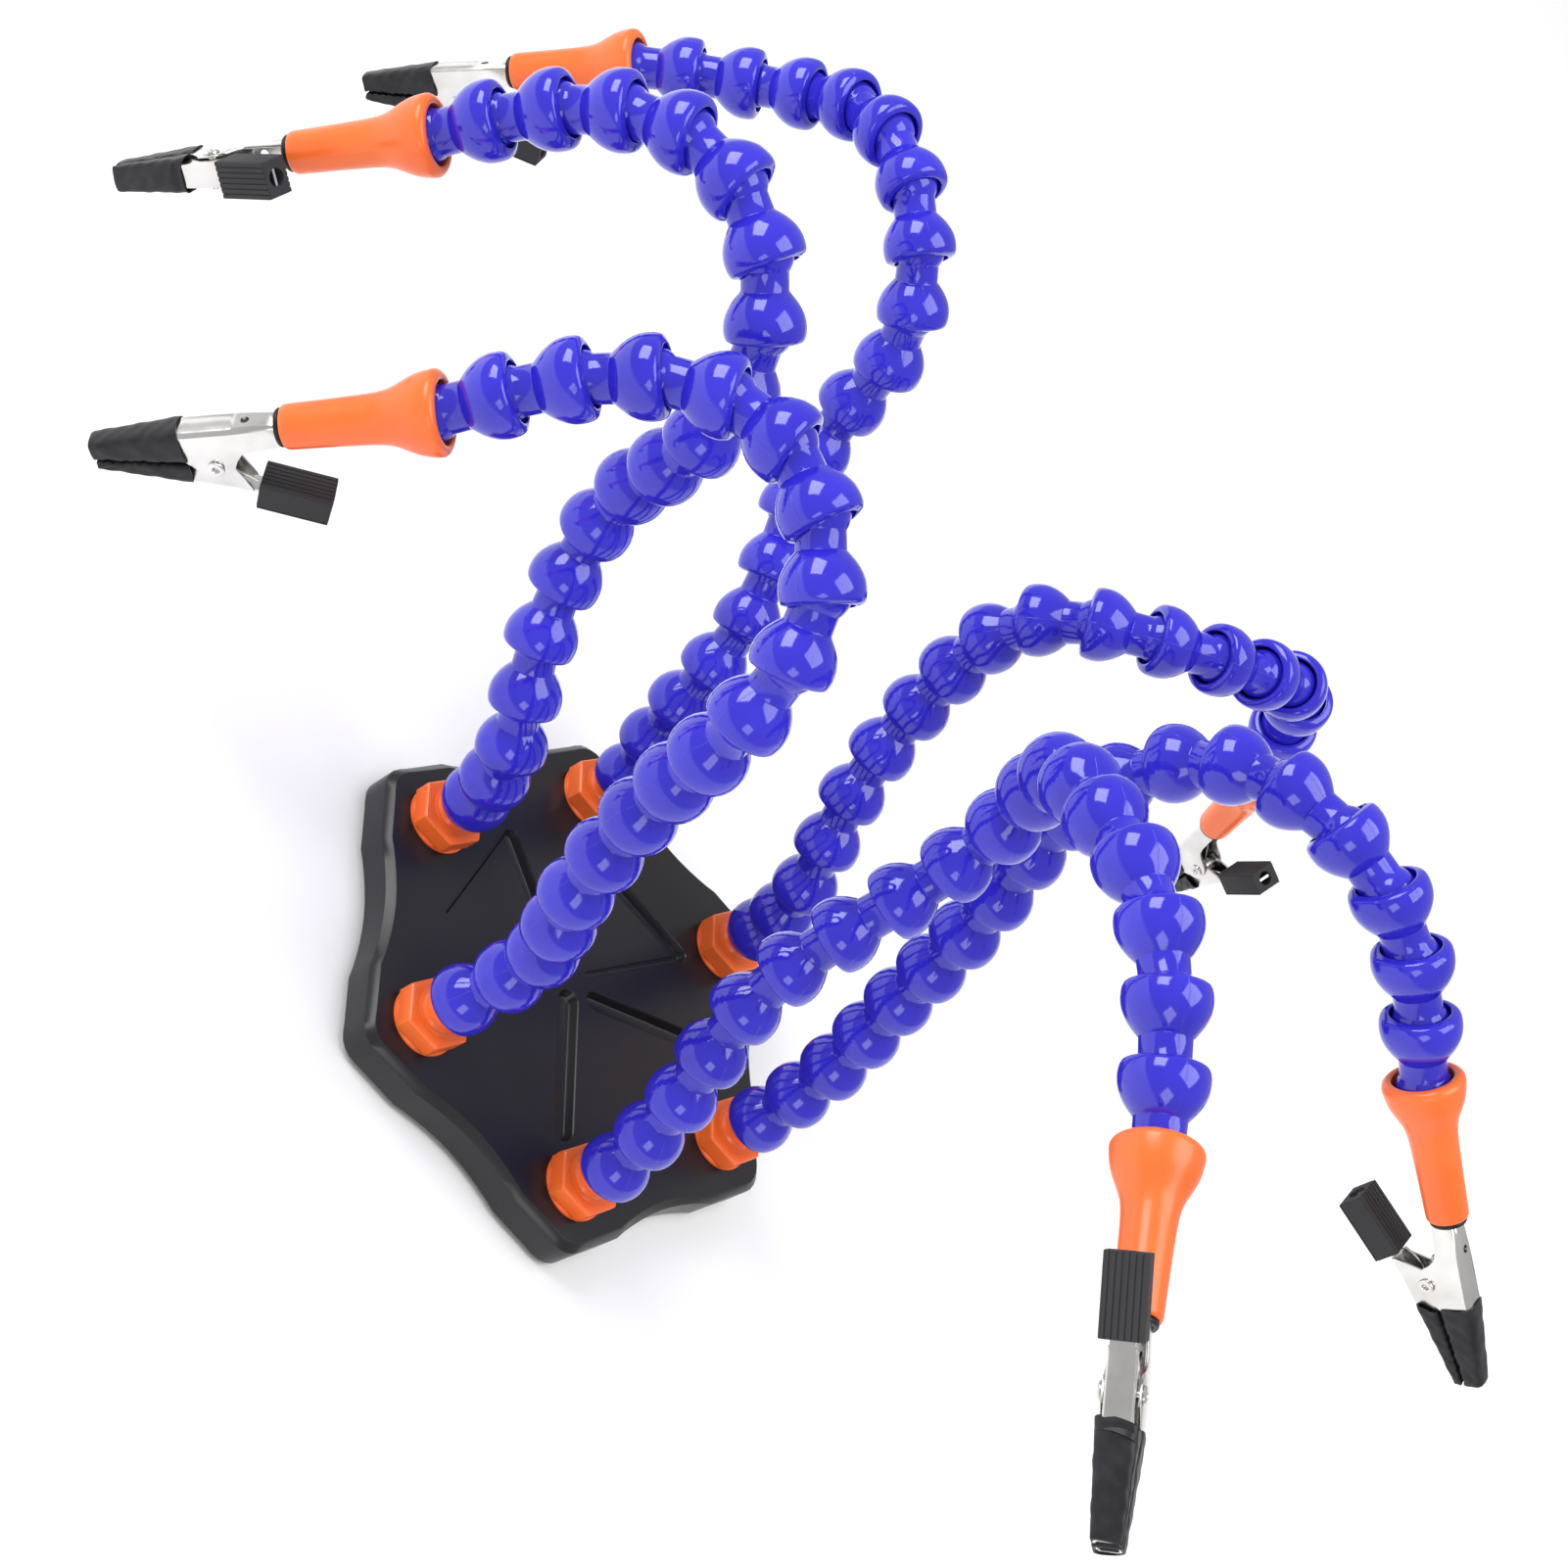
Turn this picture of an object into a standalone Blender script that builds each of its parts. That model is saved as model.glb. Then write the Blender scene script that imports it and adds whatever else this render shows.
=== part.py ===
"""Helping hands clamp: a scalloped base carrying six modular ball-and-socket
arms, each ended by a nozzle that holds a sleeved alligator clip.

Millimetres are used throughout and turned into metres when a mesh is made.
"""
import math

import bmesh
import bpy
import numpy as np
from mathutils import Vector

MM = 0.001

# ---- driving dimensions (mm) -------------------------------------------------
PITCH = 15.2            # ball centre to ball centre along an arm
SEGMENTS = 18           # segments in each arm
PER_SECTION = 6         # segments that share one node
SIDES = 8               # facets round an arm segment
BALL_R = 6.0
NECK_R = 5.0
DOME_R = 8.8
RIM_R = 8.0
RIM_AT = -2.6           # rim plane, measured from the socket centre

FITTING_CIRCLE = 55.8   # radius of the circle the six fittings stand on
BALL_Z = 27.0           # height of a fitting's ball centre
TOP_Z = 12.0
WALL_Z = 10.0
PAD_T = 0.9
PLATE_Z = 1.0
CHAMFER = 2.0

# half of one lobe of the base outline: radius, angle from the lobe's middle
LOBE = [(72.6, 0.0), (72.2, 3.5), (66.2, 14.2), (63.2, 19.5), (61.4, 25.0), (61.0, 30.0)]
# pressed grooves in the top face: start, end, width
GROOVES = [((-4.0, -6.0), (-4.0, -42.0), 6.0),
           ((4.0, -3.5), (40.0, -3.5), 5.0),
           ((-24.0, 31.0), (-9.0, 4.0), 5.0),
           ((33.0, 20.5), (10.0, 33.5), 5.0)]
GROOVE_DEPTH = 0.9

# angle of each fitting on its circle, the arm's route after the fitting's ball
# (the last point is the clip's tip), and the side the clip's handle is on
ARMS = {
    "arm1": (150.0, [(-61, 25, 57), (-72, 37, 79), (-80, 54, 116), (-86, 46, 146),
                     (-94, 55, 176), (-115, 80, 186), (-130, 94, 173), (-152, 101, 133),
                     (-190, 108, 71)], (-0.47, -0.86, 0.18)),
    "arm2": (90.0, [(-8, 61, 57), (-12, 71, 87), (-19, 105, 122), (-23, 110, 148),
                    (-35, 122, 168), (-49, 151, 171), (-57, 171, 152), (-86, 183, 121),
                    (-124, 196, 61)], (0.70, -0.46, -0.54)),
    "arm3": (30.0, [(38, 25, 54), (28, 36, 81), (20, 50, 123), (17, 48, 155),
                    (34.5, 39.5, 176.3), (63, 40, 184), (90.6, 49.2, 175.7),
                    (100.4, 51.4, 164.3), (121, 55, 142.5), (157, 64, 81)], (0.58, -0.78, 0.22)),
    "arm4": (-30.0, [(45, -25, 56), (38, -20, 85), (26, -14, 127), (17, -7, 158),
                     (17, -7.5, 188), (21.3, -23, 213), (39.3, -45, 222.3), (50.7, -54.3, 218.7),
                     (71, -72.5, 205.3), (120, -118.5, 179)], (-0.20, 0.31, -0.93)),
    "arm5": (-90.0, [(-6, -49, 58), (-12, -38, 86), (-6, -26, 126), (-2, -18, 153),
                     (-15, -21, 181), (-25, -42, 199), (-26, -66, 210), (-22, -115, 203),
                     (-32, -186, 193)], (-0.83, 0.04, 0.56)),
    "arm6": (-150.0, [(-48, -27, 53), (-60, -29, 78), (-74, -25, 128), (-81, -27, 156),
                      (-85, -12, 182), (-102, 17, 187), (-120, 28, 173), (-145, 28, 134),
                      (-187, 31, 75)], (0.79, -0.20, -0.58)),
}

# clip, in its side view: u runs along the nozzle from the last ball's centre,
# w runs away from the handle, v across
NOZZLE_END = 30.5
PIVOT = (46.3, -6.2)
TIP = 71.8
FIXED_V = 3.5
FIXED_IN = 3.0
MOVING_V = 2.6
MOVING_IN = 2.1
GRIP_SIZE = (14.8, 8.0, 6.5)
GRIP_AT = (33.2, -17.0)

COLOURS = {
    "base": (0.030, 0.029, 0.034), "pad": (0.02, 0.02, 0.02), "blue": (0.045, 0.04, 0.62),
    "orange": (1.0, 0.15, 0.03), "steel": (0.75, 0.74, 0.72), "rubber": (0.03, 0.03, 0.035),
}


def unit(v):
    v = np.asarray(v, float)
    return v / np.linalg.norm(v)


# ---- routes ------------------------------------------------------------------
def smooth_line(points, steps=40):
    """A natural cubic spline through the points, as a dense polyline."""
    p = np.asarray(points, float)
    m = len(p)
    h = np.linalg.norm(np.diff(p, axis=0), axis=1)
    a = np.eye(m)
    b = np.zeros((m, 3))
    for i in range(1, m - 1):
        a[i, i - 1], a[i, i], a[i, i + 1] = h[i - 1], 2 * (h[i - 1] + h[i]), h[i]
        b[i] = 6 * ((p[i + 1] - p[i]) / h[i] - (p[i] - p[i - 1]) / h[i - 1])
    k = np.linalg.solve(a, b)
    out = []
    for i in range(m - 1):
        for s in range(steps):
            u = s / steps * h[i]
            c = h[i] - u
            out.append(k[i] * c ** 3 / (6 * h[i]) + k[i + 1] * u ** 3 / (6 * h[i])
                       + (p[i] / h[i] - k[i] * h[i] / 6) * c
                       + (p[i + 1] / h[i] - k[i + 1] * h[i] / 6) * u)
    out.append(p[-1])
    return np.array(out)


def lay_chain(line, pitch, count):
    """Joint centres laid along a line at a constant straight distance."""
    here = line[0]
    pts = [here]
    i = 0
    for _ in range(count):
        while i < len(line) - 1 and np.linalg.norm(line[i + 1] - here) < pitch:
            i += 1
        a, d = line[i], line[i + 1] - line[i]
        qa = d @ d
        qb = 2 * d @ (a - here)
        qc = (a - here) @ (a - here) - pitch * pitch
        here = a + (-qb + math.sqrt(max(qb * qb - 4 * qa * qc, 0.0))) / (2 * qa) * d
        pts.append(here)
    return np.array(pts)


def carry(normal, old, new):
    """A normal carried from one direction to the next without twist."""
    axis = np.cross(old, new)
    s = np.linalg.norm(axis)
    if s < 1e-9:
        return normal
    axis = axis / s
    ang = math.atan2(s, float(old @ new))
    return (normal * math.cos(ang) + np.cross(axis, normal) * math.sin(ang)
            + axis * (axis @ normal) * (1 - math.cos(ang)))


# ---- mesh helpers ------------------------------------------------------------
def ring(centre, along, side, radius, sides, offset=0.0, flats=None):
    """Points round an axis; flats gives every second point its own radius."""
    up = np.cross(along, side)
    pts = []
    for i in range(sides):
        t = 2 * math.pi * i / sides
        r = radius if flats is None or i % 2 == 0 else flats
        pts.append(centre + along * offset + (side * math.cos(t) + up * math.sin(t)) * r)
    return pts


def loft(rings, closed=False):
    """Skin a run of rings; capped at both ends, or joined last to first."""
    n = len(rings[0])
    verts = [p for r in rings for p in r]
    faces = []
    last = len(rings) if closed else len(rings) - 1
    for j in range(last):
        a, b = j * n, ((j + 1) % len(rings)) * n
        faces += [(a + i, a + (i + 1) % n, b + (i + 1) % n, b + i) for i in range(n)]
    if not closed:
        faces.append(tuple(range(n))[::-1])
        faces.append(tuple((len(rings) - 1) * n + i for i in range(n)))
    return verts, faces


def prism(outline, low, high):
    """An outline of 3-D points swept from one offset vector to another."""
    a = [np.asarray(p, float) + low for p in outline]
    b = [np.asarray(p, float) + high for p in outline]
    return loft([a, b])


def material(name, colour, rough, metal):
    m = bpy.data.materials.new(name)
    m.use_nodes = True
    b = m.node_tree.nodes["Principled BSDF"]
    b.inputs["Base Color"].default_value = (*colour, 1.0)
    b.inputs["Roughness"].default_value = rough
    b.inputs["Metallic"].default_value = metal
    return m


FINISH = {"base": (0.45, 0.6), "pad": (0.9, 0.0), "blue": (0.15, 0.0),
          "orange": (0.25, 0.0), "steel": (0.2, 1.0), "rubber": (0.55, 0.0)}


def make(name, data, finish=None, origin=None):
    """A mesh object from millimetre points, faces turned outward."""
    verts, faces = data
    origin = np.zeros(3) if origin is None else np.asarray(origin, float)
    mesh = bpy.data.meshes.new(name)
    mesh.from_pydata([tuple((np.asarray(v) - origin) * MM) for v in verts], [], faces)
    bm = bmesh.new()
    bm.from_mesh(mesh)
    bmesh.ops.recalc_face_normals(bm, faces=bm.faces)
    bm.to_mesh(mesh)
    bm.free()
    ob = bpy.data.objects.new(name, mesh)
    ob.location = Vector(tuple(origin * MM))
    bpy.context.scene.collection.objects.link(ob)
    if finish:
        mesh.materials.append(material(name + "_finish", COLOURS[finish], *FINISH[finish]))
    return ob


def cut_or_join(ob, data, operation):
    """Boolean a throw-away solid into an object."""
    origin = np.array(ob.location) / MM
    tool = make(ob.name + "_tool", data, None, origin)
    mod = ob.modifiers.new("bool", "BOOLEAN")
    mod.operation, mod.solver, mod.object = operation, "EXACT", tool
    bpy.context.view_layer.update()
    done = bpy.data.meshes.new_from_object(ob.evaluated_get(bpy.context.evaluated_depsgraph_get()))
    ob.modifiers.clear()
    old, ob.data = ob.data, done
    bpy.data.meshes.remove(old)
    bpy.data.objects.remove(tool)


# ---- base --------------------------------------------------------------------
def base_outline(inset, z):
    pts = []
    for k in range(6):
        mid = 30.0 + 60.0 * k
        for r, a in [(r, -a) for r, a in LOBE[:0:-1]] + LOBE[:-1]:
            t = math.radians(mid + a)
            pts.append(np.array([(r - inset) * math.cos(t), (r - inset) * math.sin(t), z]))
    return pts


def stadium(a, b, width, low, high):
    a, b = np.array([*a, 0.0]), np.array([*b, 0.0])
    d = unit(b - a)
    s = np.array([-d[1], d[0], 0.0])
    pts = []
    for centre, start in ((b, -90), (a, 90)):
        for i in range(5):
            t = math.radians(start + 45 * i)
            pts.append(centre + (d * math.cos(t) + s * math.sin(t)) * width / 2)
    return prism(pts, np.array([0, 0, low]), np.array([0, 0, high]))


Z = np.array([0.0, 0.0, 1.0])
X = np.array([1.0, 0.0, 0.0])


def build_base():
    plate = make("base_plate", loft([base_outline(0.8, PLATE_Z), base_outline(0.0, PLATE_Z + 0.8),
                                     base_outline(0.0, WALL_Z), base_outline(CHAMFER, TOP_Z)]), "base")
    for angle, _, _ in ARMS.values():
        t = math.radians(angle)
        c = np.array([math.cos(t), math.sin(t), 0.0]) * FITTING_CIRCLE
        cut_or_join(plate, loft([ring(c, Z, X, 5.2, 12, 3.5), ring(c, Z, X, 5.2, 12, 14.0)]), "DIFFERENCE")
    for a, b, width in GROOVES:
        cut_or_join(plate, stadium(a, b, width, TOP_Z - GROOVE_DEPTH, TOP_Z + 2), "DIFFERENCE")
    make("base_pad", loft([base_outline(3.0, 0.0), base_outline(3.0, PAD_T)]), "pad")


def build_fitting(arm, c):
    foot = np.array([c[0], c[1], 0.0])
    hexa = (9.6, 9.6 * math.cos(math.pi / 6))
    prof = [(4.0, 4.6, None), (12.1, 4.6, None), (12.1, 9.2, None), (13.2, 9.2, None),
            (13.5, *hexa), (18.2, *hexa), (18.7, 8.0, 8.0), (18.8, 5.0, 5.0), (23.4, 4.8, 4.8),
            (BALL_Z, BALL_R, None), (BALL_Z + 3.3, 5.0, None), (BALL_Z + 5.2, 3.0, None)]
    make(arm + "_fitting", loft([ring(foot, Z, unit(foot), r, 12, z, f) for z, r, f in prof]), "orange")


# ---- arms --------------------------------------------------------------------
def build_section(name, joints, dirs, sides_dir, first):
    """Six joined segments: open socket at the start, free ball at the end."""
    rings = []
    s, d, c = sides_dir[first], dirs[first], joints[first]
    for off, r in ((6.3, 3.05), (4.2, 5.6), (0.5, 7.0), (RIM_AT, 7.4)):
        rings.append(ring(c, d, s, r, SIDES, off))
    for k in range(first, first + PER_SECTION):
        c, d, s = joints[k], dirs[k], sides_dir[k]
        if k > first:
            rings.append(ring(c, d, s, NECK_R, SIDES, RIM_AT))
        for off, r in ((RIM_AT, RIM_R), (0.4, DOME_R), (4.6, 7.3), (8.0, NECK_R)):
            rings.append(ring(c, d, s, r, SIDES, off))
    end = joints[first + PER_SECTION]
    for off, r in ((-3.3, NECK_R), (0.0, BALL_R), (3.3, 5.0), (5.2, 3.0)):
        rings.append(ring(end, d, s, r, SIDES, off))
    make(name, loft(rings), "blue", joints[first])


class ClipFrame:
    """Places side-view points (u, w) and widths v of one clip."""

    def __init__(self, centre, along, handle):
        self.c = centre
        self.d = unit(along)
        h = np.asarray(handle, float)
        self.w = -unit(h - (h @ self.d) * self.d)
        self.v = np.cross(self.w, self.d)

    def at(self, u, w, v=0.0):
        return self.c + self.d * u + self.w * w + self.v * v

    def plate(self, outline, half):
        return prism([self.at(u, w) for u, w in outline], -self.v * half, self.v * half)

    def wedge(self, u0, w0, v0, u1, w1, v1):
        a = [self.at(u0, w0[0], -v0), self.at(u0, w0[0], v0), self.at(u0, w0[1], v0), self.at(u0, w0[1], -v0)]
        b = [self.at(u1, w1[0], -v1), self.at(u1, w1[0], v1), self.at(u1, w1[1], v1), self.at(u1, w1[1], -v1)]
        return loft([a, b])


def build_nozzle(name, f):
    prof = [(RIM_AT, 7.2), (0.5, 6.9), (4.2, 5.5), (6.3, 3.6), (NOZZLE_END, 3.6), (NOZZLE_END, 4.5),
            (29.8, 4.85), (12.0, 5.5), (8.5, 6.1), (4.5, 7.7), (1.2, 8.9), (-1.6, 8.9), (RIM_AT, 8.1)]
    make(name, loft([ring(f.c, f.d, f.v, r, 12, u) for u, r in prof], closed=True), "orange", f.c)


def build_clip(arm, f):
    fixed = make(arm + "_fixed_jaw", f.plate(
        [(30.9, 2.6), (53.0, 3.0), (53.0, -4.4), (51.7, -4.5), (49.5, -7.4), (46.5, -8.4), (44.0, -8.2), (42.2, -6.9),
         (41.0, -4.6), (39.5, -3.2), (30.9, -3.0)], FIXED_V), "steel", f.c)
    cut_or_join(fixed, f.plate([(33.5, 2.0), (60.0, 2.4), (60.0, -9.0), (33.5, -9.0)], FIXED_IN), "DIFFERENCE")
    cut_or_join(fixed, loft([ring(f.c, f.d, f.v, 3.0, 8, 20.0), ring(f.c, f.d, f.v, 3.0, 8, 32.0)]), "UNION")
    cut_or_join(fixed, f.wedge(51.8, (-4.5, 3.4), 4.0, TIP, (-2.0, 2.0), 2.9), "UNION")
    pivot = f.at(*PIVOT)
    hole = loft([ring(pivot, f.v, f.d, 1.4, 10, -6.0), ring(pivot, f.v, f.d, 1.4, 10, 6.0)])
    cut_or_join(fixed, hole, "DIFFERENCE")

    moving = make(arm + "_moving_jaw", f.plate(
        [(53.0, -5.0), (53.0, -9.6), (41.4, -13.75), (27.0, -20.35), (26.7, -19.6), (40.9, -12.75),
         (42.6, -9.0), (43.6, -4.4), (48.0, -3.8)], MOVING_V), "steel", pivot)
    cut_or_join(moving, f.plate([(54.0, -2.0), (54.0, -8.6), (41.2, -13.0), (37.0, -12.0), (41.2, -2.0)], MOVING_IN),
                "DIFFERENCE")
    cut_or_join(moving, f.wedge(52.0, (-10.0, -4.9), 4.0, TIP, (-4.5, -2.35), 2.9), "UNION")
    cut_or_join(moving, hole, "DIFFERENCE")

    make(arm + "_pivot_pin", loft([ring(pivot, f.v, f.d, r, 10, off) for off, r in
                                   ((-4.3, 1.7), (-3.65, 1.8), (-3.65, 1.0), (3.65, 1.0), (3.65, 1.8), (4.3, 1.7))]),
         "steel", pivot)

    along = unit(f.at(26.0, -20.4) - f.at(40.4, -13.6))
    up = unit(f.w - (f.w @ along) * along)
    c = f.at(*GRIP_AT)
    def block(dx, dy, dz):
        return loft([[c + along * sx * dx + f.v * sy * dy + up * sz * dz
                      for sy, sz in ((-1, -1), (1, -1), (1, 1), (-1, 1))] for sx in (-1, 1)])
    grip = make(arm + "_grip", block(GRIP_SIZE[0] / 2, GRIP_SIZE[1] / 2, GRIP_SIZE[2] / 2), "rubber", pivot)
    cut_or_join(grip, block(20.0, MOVING_V + 0.3, 0.85), "DIFFERENCE")


def build_arm(arm, angle, route, handle):
    t = math.radians(angle)
    start = np.array([FITTING_CIRCLE * math.cos(t), FITTING_CIRCLE * math.sin(t), BALL_Z])
    joints = lay_chain(smooth_line([start, *route]), PITCH, SEGMENTS)
    dirs = [unit(b - a) for a, b in zip(joints, joints[1:])]
    side = unit(np.cross(dirs[0], np.array([math.sin(t), -math.cos(t), 0.0])))
    sides_dir = []
    for k, d in enumerate(dirs):
        if k:
            side = carry(side, dirs[k - 1], d)
        sides_dir.append(side)
    build_fitting(arm, start)
    for i, word in enumerate(("lower", "middle", "upper")):
        build_section(f"{arm}_{word}_segments", joints, dirs, sides_dir, i * PER_SECTION)
    f = ClipFrame(joints[-1], np.asarray(route[-1], float) - joints[-1], handle)
    build_nozzle(arm + "_nozzle", f)
    build_clip(arm, f)


def main():
    for ob in list(bpy.data.objects):
        bpy.data.objects.remove(ob)
    build_base()
    for arm, (angle, route, handle) in ARMS.items():
        build_arm(arm, angle, route, handle)


main()
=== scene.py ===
"""Helping hands clamp: a scalloped black base, six orange fittings, six arms of
blue ball-and-socket segments, and a sleeved spring clip in an orange nozzle at
the end of each arm.

Lengths are millimetres until a mesh is made, and metres from then on.
"""

from __future__ import annotations

import logging
import math
from dataclasses import dataclass, field
from enum import Enum
from typing import Callable, Sequence

import bmesh
import bpy
import numpy as np
from bpy.types import Material, Node, NodeSocket, Object
from mathutils import Matrix, Vector

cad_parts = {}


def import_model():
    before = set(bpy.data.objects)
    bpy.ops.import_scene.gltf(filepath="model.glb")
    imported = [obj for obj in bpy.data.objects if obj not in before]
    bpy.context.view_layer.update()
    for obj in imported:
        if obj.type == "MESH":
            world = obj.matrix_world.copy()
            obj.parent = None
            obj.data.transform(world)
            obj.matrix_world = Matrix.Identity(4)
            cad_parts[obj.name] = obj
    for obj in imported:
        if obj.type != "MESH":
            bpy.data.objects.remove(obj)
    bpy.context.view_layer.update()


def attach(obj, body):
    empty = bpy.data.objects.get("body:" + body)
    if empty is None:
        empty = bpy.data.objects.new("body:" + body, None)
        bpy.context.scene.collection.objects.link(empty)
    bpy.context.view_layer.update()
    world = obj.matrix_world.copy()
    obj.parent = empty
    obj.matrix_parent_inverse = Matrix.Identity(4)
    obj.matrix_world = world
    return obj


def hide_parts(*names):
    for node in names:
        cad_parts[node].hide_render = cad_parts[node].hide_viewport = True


LOG = logging.getLogger("helping_hands")
MM = 0.001

Mesh = tuple[list[np.ndarray], list[tuple[int, ...]]]
Pair = tuple[float, float]
Triple = tuple[float, float, float]
Profile = Sequence[Pair]
Quads = Sequence[tuple[float, float, float, float]]


# ---- vectors and routes


def vec(*values: float) -> np.ndarray:
    """A float vector."""
    return np.array(values, float)


def unit(v: np.ndarray) -> np.ndarray:
    """The vector at length one."""
    return v / np.linalg.norm(v)


def smooth_line(points: Sequence[np.ndarray], steps: int = 40) -> np.ndarray:
    """Draw a natural cubic spline through some points.

    Args:
        points: the points the line passes through.
        steps: straight pieces between two neighbouring points.

    Returns:
        The line as a dense run of points.
    """
    p = np.asarray(points, float)
    count = len(p)
    gap = np.linalg.norm(np.diff(p, axis=0), axis=1)
    left, right = np.eye(count), np.zeros((count, 3))
    for i in range(1, count - 1):
        left[i, i - 1 : i + 2] = gap[i - 1], 2 * (gap[i - 1] + gap[i]), gap[i]
        right[i] = 6 * ((p[i + 1] - p[i]) / gap[i] - (p[i] - p[i - 1]) / gap[i - 1])
    bend = np.linalg.solve(left, right)
    line = []
    for i, h in enumerate(gap):
        for s in range(steps):
            u = s / steps * h
            v = h - u
            line.append(
                (bend[i] * v**3 + bend[i + 1] * u**3) / (6 * h)
                + (p[i] / h - bend[i] * h / 6) * v
                + (p[i + 1] / h - bend[i + 1] * h / 6) * u
            )
    return np.array([*line, p[-1]])


def lay_chain(line: np.ndarray, pitch: float, count: int) -> np.ndarray:
    """Lay ball centres along a line at one straight distance.

    Args:
        line: the dense line to follow.
        pitch: distance between neighbouring centres.
        count: number of steps.

    Returns:
        The count + 1 centres.
    """
    here, i = line[0], 0
    centres = [here]
    for _ in range(count):
        while i < len(line) - 1 and np.linalg.norm(line[i + 1] - here) < pitch:
            i += 1
        start, step = line[i], line[i + 1] - line[i]
        a, b = step @ step, 2 * step @ (start - here)
        c = (start - here) @ (start - here) - pitch * pitch
        here = start + (-b + math.sqrt(max(b * b - 4 * a * c, 0.0))) / (2 * a) * step
        centres.append(here)
    return np.array(centres)


def carry(side: np.ndarray, old: np.ndarray, new: np.ndarray) -> np.ndarray:
    """Turn a side vector with its axis, without twist.

    Args:
        side: the vector square to the old axis.
        old: the axis before the bend.
        new: the axis after the bend.

    Returns:
        The vector square to the new axis.
    """
    turn = np.cross(old, new)
    size = np.linalg.norm(turn)
    if size < 1e-9:
        return side
    turn, angle = turn / size, math.atan2(size, float(old @ new))
    return (
        side * math.cos(angle)
        + np.cross(turn, side) * math.sin(angle)
        + turn * (turn @ side) * (1 - math.cos(angle))
    )


@dataclass(frozen=True)
class Axes:
    """A place with three square directions: x, y, and z along the part."""

    at: np.ndarray
    x: np.ndarray
    z: np.ndarray

    @property
    def y(self) -> np.ndarray:
        """The third direction, right-handed."""
        return np.cross(self.z, self.x)

    def point(self, x: float, y: float, z: float) -> np.ndarray:
        """A point given along the three directions."""
        return self.at + self.x * x + self.y * y + self.z * z

    def matrix(self) -> Matrix:
        """The rotation and place, in metres."""
        rows = np.column_stack([self.x, self.y, self.z, self.at * MM])
        return Matrix([*(tuple(r) for r in rows), (0, 0, 0, 1)])


# ---- shader helpers


class Value:
    """A socket carrying a number, used in ordinary arithmetic."""

    def __init__(self, paint: Paint, socket: NodeSocket) -> None:
        """Keep the socket and the material it belongs to."""
        self.paint, self.socket = paint, socket

    def _maths(self, operation: str, first: object, second: object) -> Value:
        """One Math node on two values or numbers."""
        made = self.paint.node("ShaderNodeMath", {"operation": operation}, {0: first, 1: second})
        return Value(self.paint, made.outputs[0])

    def __add__(self, other: Value | float) -> Value:
        """Sum."""
        return self._maths("ADD", self, other)

    def __sub__(self, other: Value | float) -> Value:
        """Difference."""
        return self._maths("SUBTRACT", self, other)

    def __rsub__(self, other: float) -> Value:
        """Difference from a number."""
        return self._maths("SUBTRACT", other, self)

    def __mul__(self, other: Value | float) -> Value:
        """Product."""
        return self._maths("MULTIPLY", self, other)

    __radd__ = __add__
    __rmul__ = __mul__


class Graph:
    """Adds nodes to one node tree."""

    def __init__(self, tree: bpy.types.NodeTree) -> None:
        """Keep the tree's nodes and links."""
        self.nodes, self.links = tree.nodes, tree.links

    def node(self, kind: str, settings: dict, inputs: dict) -> Node:
        """Add a node.

        Args:
            kind: the node's type.
            settings: properties, set before the sockets.
            inputs: numbers, colours, sockets or Values by socket name or index.

        Returns:
            The node.
        """
        made = self.nodes.new(kind)
        for key, value in settings.items():
            setattr(made, key, value)
        for key, value in inputs.items():
            self.put(made.inputs[key], value)
        return made

    def put(self, socket: NodeSocket, value: object) -> None:
        """Link or set one input socket."""
        if isinstance(value, Value):
            value = value.socket
        if isinstance(value, NodeSocket):
            self.links.new(value, socket)
        else:
            socket.default_value = value


class Paint(Graph):
    """Builds one material's nodes around a Principled shader."""

    def __init__(self, name: str) -> None:
        """Start the material.

        Args:
            name: the material's name.
        """
        self.material = bpy.data.materials.new(name)
        self.material.use_nodes = True
        super().__init__(self.material.node_tree)
        self.shader = self.nodes["Principled BSDF"]
        self.place = self.node("ShaderNodeTexCoord", {}, {}).outputs["Object"]

    def noise(self, scale: float, detail: float) -> Value:
        """Cloudy noise from 0 to 1, from features per metre and octaves."""
        made = self.node("ShaderNodeTexNoise", {}, {"Vector": self.place, "Scale": scale, "Detail": detail})
        return Value(self, made.outputs[0])

    def ramp(self, value: Value, low: float, high: float) -> Value:
        """The value stretched so that low becomes 0 and high becomes 1."""
        limits = {"Value": value, "From Min": low, "From Max": high}
        return Value(self, self.node("ShaderNodeMapRange", {"clamp": True}, limits).outputs[0])

    def mix(self, factor: Value, first: tuple, second: tuple) -> NodeSocket:
        """Blend two colours by a value."""
        made = self.node(
            "ShaderNodeMix",
            {"data_type": "RGBA"},
            {"Factor": factor, 6: (*first, 1.0), 7: (*second, 1.0)},
        )
        return made.outputs[2]

    def bump(self, height: Value, strength: float, depth: float) -> NodeSocket:
        """A normal from a height, depth in millimetres."""
        made = self.node(
            "ShaderNodeBump", {}, {"Height": height, "Strength": strength, "Distance": depth * MM}
        )
        return made.outputs[0]

    def finish(self, **sockets: object) -> Material:
        """Set the shader's sockets by name, with underscores for spaces."""
        for key, value in sockets.items():
            self.put(self.shader.inputs[key.replace("_", " ")], value)
        return self.material


# ---- finishes


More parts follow.
